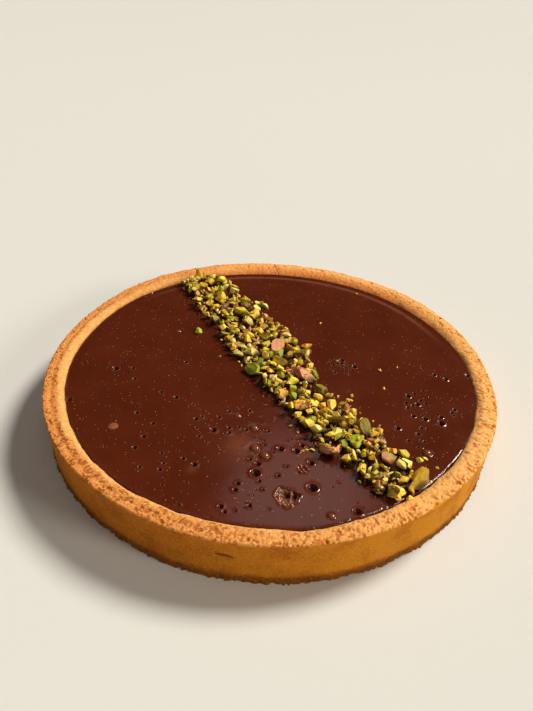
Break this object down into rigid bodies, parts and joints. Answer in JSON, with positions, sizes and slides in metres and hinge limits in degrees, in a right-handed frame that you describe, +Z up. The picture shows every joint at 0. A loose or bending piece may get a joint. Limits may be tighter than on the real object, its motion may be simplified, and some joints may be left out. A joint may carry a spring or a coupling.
{
  "type": "chocolate tart",
  "caption": "Round chocolate tart: thick baked shortcrust shell, dark glossy filling set almost level with the rim, and a row of chopped pistachios across the top.",
  "frame": {"origin": "centre of the underside of the shell, on the surface that the tart stands on", "axes": "+Z up through the tart, +Y away from its front, +X to the right; the pistachio row runs from the back left to the front right"},
  "size_m": [0.2591, 0.2591, 0.034],
  "materials": {
    "shortcrust": "matt, finely porous golden brown baked shortcrust, filed flat and lighter along the rim, darker at the foot",
    "chocolate": "glossy dark brown set chocolate with small burst bubbles",
    "pistachio": "satin chopped nut: yellow-green flesh, olive and purple-brown skins"
  },
  "bodies": {
    "root": {"crust": "shortcrust", "filling": "chocolate", "pistachio_row": "pistachio"}
  },
  "joints": []
}
